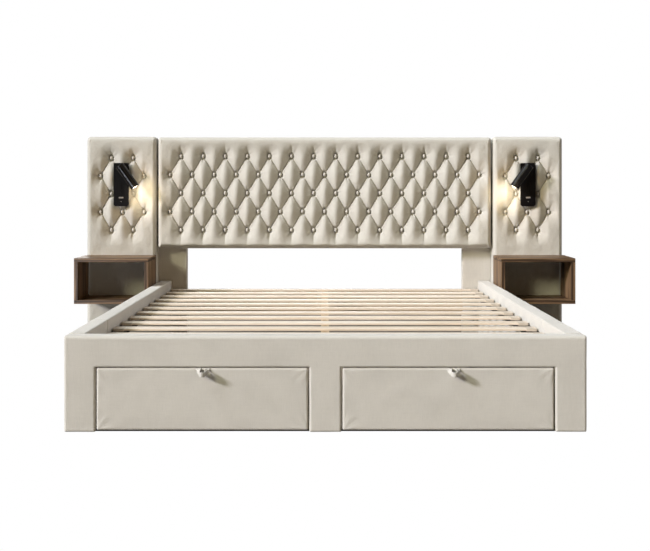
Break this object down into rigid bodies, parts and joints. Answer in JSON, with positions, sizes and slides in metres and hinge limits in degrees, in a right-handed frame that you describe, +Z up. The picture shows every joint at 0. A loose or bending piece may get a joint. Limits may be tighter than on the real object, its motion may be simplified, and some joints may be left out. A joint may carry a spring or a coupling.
{
  "type": "upholstered bed with nightstands",
  "caption": "Upholstered platform bed with tufted winged headboard, reading lamps, open bedside shelves and wheeled footboard drawers.",
  "frame": {"origin": "on the floor, at the centre of the bed's whole footprint (its bounding box)", "axes": "+X across the bed to the right as seen from the foot, +Y from the foot towards the headboard, +Z up"},
  "size_m": [2.372, 2.184, 1.024],
  "materials": {
    "upholstery": "woven linen-look upholstery over foam, light greige",
    "button_fabric": "fabric-covered tufting buttons",
    "birch": "pale sanded slats and battens",
    "frame_timber": "sawn softwood and plywood, hidden",
    "walnut": "open-grained walnut veneer, satin",
    "bracket_steel": "zinc-plated pressed steel",
    "bolt_steel": "zinc-plated",
    "cap_plastic": "pale grey moulded plastic",
    "foot_plastic": "dark moulded plastic",
    "lamp_black": "satin black anodised",
    "diffuser": "lit warm white diffuser",
    "port_white": "white moulded plastic",
    "grommet_rubber": "soft black",
    "wheel_rubber": "dark grey rolling wheel",
    "bracket_plastic": "dark moulded plastic"
  },
  "bodies": {
    "bed": {"footboard_frame": "frame_timber", "footboard_top_cover": "upholstery", "footboard_leg_covers": "upholstery", "side_rail_boards": "frame_timber", "side_rail_covers": "upholstery", "corner_brackets": "bracket_steel", "frame_bolts": "bolt_steel", "slat_ledgers": "birch", "center_beam": "birch", "beam_hangers": "bracket_steel", "center_legs": "frame_timber", "leveling_feet": "foot_plastic", "slats": "birch", "slat_caps": "cap_plastic", "head_cross_rail": "frame_timber", "head_posts": "upholstery", "headboard_board": "frame_timber", "headboard_cushion": "upholstery", "tuft_buttons": "button_fabric", "wing_boards": "frame_timber", "left_wing_cushion": "upholstery", "right_wing_cushion": "upholstery", "wing_brackets": "bracket_steel", "left_shelf_top": "walnut", "left_shelf_bottom": "walnut", "left_shelf_sides": "walnut", "right_shelf_top": "walnut", "right_shelf_bottom": "walnut", "right_shelf_sides": "walnut", "shelf_screws": "bolt_steel", "left_lamp_backplate": "lamp_black", "right_lamp_backplate": "lamp_black", "usb_ports": "port_white", "lamp_indicators": "port_white", "cable_grommets": "grommet_rubber"},
    "left_drawer": {"left_drawer_front_cover": "upholstery", "left_drawer_front_board": "frame_timber", "left_drawer_sides": "frame_timber", "left_drawer_back": "frame_timber", "left_drawer_bottom": "frame_timber", "left_drawer_pull": "upholstery", "left_drawer_wheel_brackets": "bracket_plastic"},
    "left_front_wheel_pair": {"left_front_wheels": "wheel_rubber"},
    "left_rear_wheel_pair": {"left_rear_wheels": "wheel_rubber"},
    "left_lamp_swivel": {"left_lamp_knuckle": "lamp_black"},
    "left_lamp_spot": {"left_lamp_head": "lamp_black", "left_lamp_led": "diffuser"},
    "right_drawer": {"right_drawer_front_cover": "upholstery", "right_drawer_front_board": "frame_timber", "right_drawer_sides": "frame_timber", "right_drawer_back": "frame_timber", "right_drawer_bottom": "frame_timber", "right_drawer_pull": "upholstery", "right_drawer_wheel_brackets": "bracket_plastic"},
    "right_front_wheel_pair": {"right_front_wheels": "wheel_rubber"},
    "right_rear_wheel_pair": {"right_rear_wheels": "wheel_rubber"},
    "right_lamp_swivel": {"right_lamp_knuckle": "lamp_black"},
    "right_lamp_spot": {"right_lamp_head": "lamp_black", "right_lamp_led": "diffuser"}
  },
  "joints": [
    {"name": "left_drawer_slide", "type": "slide", "parent": "bed", "child": "left_drawer", "axis": [0, -1, 0], "range_m": [0, 0.6]},
    {"name": "left_front_wheel_spin", "type": "hinge", "parent": "left_drawer", "child": "left_front_wheel_pair", "pos_m": [-0.3885, -0.938, 0.018], "axis": [1, 0, 0], "continuous": true},
    {"name": "left_rear_wheel_spin", "type": "hinge", "parent": "left_drawer", "child": "left_rear_wheel_pair", "pos_m": [-0.3885, -0.308, 0.018], "axis": [1, 0, 0], "continuous": true},
    {"name": "left_lamp_turn", "type": "hinge", "parent": "bed", "child": "left_lamp_swivel", "pos_m": [-1.0015, 0.934, 0.874], "axis": [0, 1, 0], "range_deg": [-90, 90]},
    {"name": "left_lamp_tilt", "type": "hinge", "parent": "left_lamp_swivel", "child": "left_lamp_spot", "pos_m": [-1.0015, 0.934, 0.874], "axis": [-0.8141, 0, -0.5807], "range_deg": [0, 90]},
    {"name": "right_drawer_slide", "type": "slide", "parent": "bed", "child": "right_drawer", "axis": [0, -1, 0], "range_m": [0, 0.6]},
    {"name": "right_front_wheel_spin", "type": "hinge", "parent": "right_drawer", "child": "right_front_wheel_pair", "pos_m": [0.3885, -0.938, 0.018], "axis": [1, 0, 0], "continuous": true},
    {"name": "right_rear_wheel_spin", "type": "hinge", "parent": "right_drawer", "child": "right_rear_wheel_pair", "pos_m": [0.3885, -0.308, 0.018], "axis": [1, 0, 0], "continuous": true},
    {"name": "right_lamp_turn", "type": "hinge", "parent": "bed", "child": "right_lamp_swivel", "pos_m": [1.0015, 0.934, 0.874], "axis": [0, 1, 0], "range_deg": [-90, 90]},
    {"name": "right_lamp_tilt", "type": "hinge", "parent": "right_lamp_swivel", "child": "right_lamp_spot", "pos_m": [1.0015, 0.934, 0.874], "axis": [-0.8141, 0, 0.5807], "range_deg": [0, 90]}
  ],
  "couplings": [
    {"joint": "left_front_wheel_spin", "follows": "left_drawer_slide", "rad_per_m": 55.556},
    {"joint": "left_rear_wheel_spin", "follows": "left_drawer_slide", "rad_per_m": 55.556},
    {"joint": "right_front_wheel_spin", "follows": "right_drawer_slide", "rad_per_m": 55.556},
    {"joint": "right_rear_wheel_spin", "follows": "right_drawer_slide", "rad_per_m": 55.556}
  ]
}
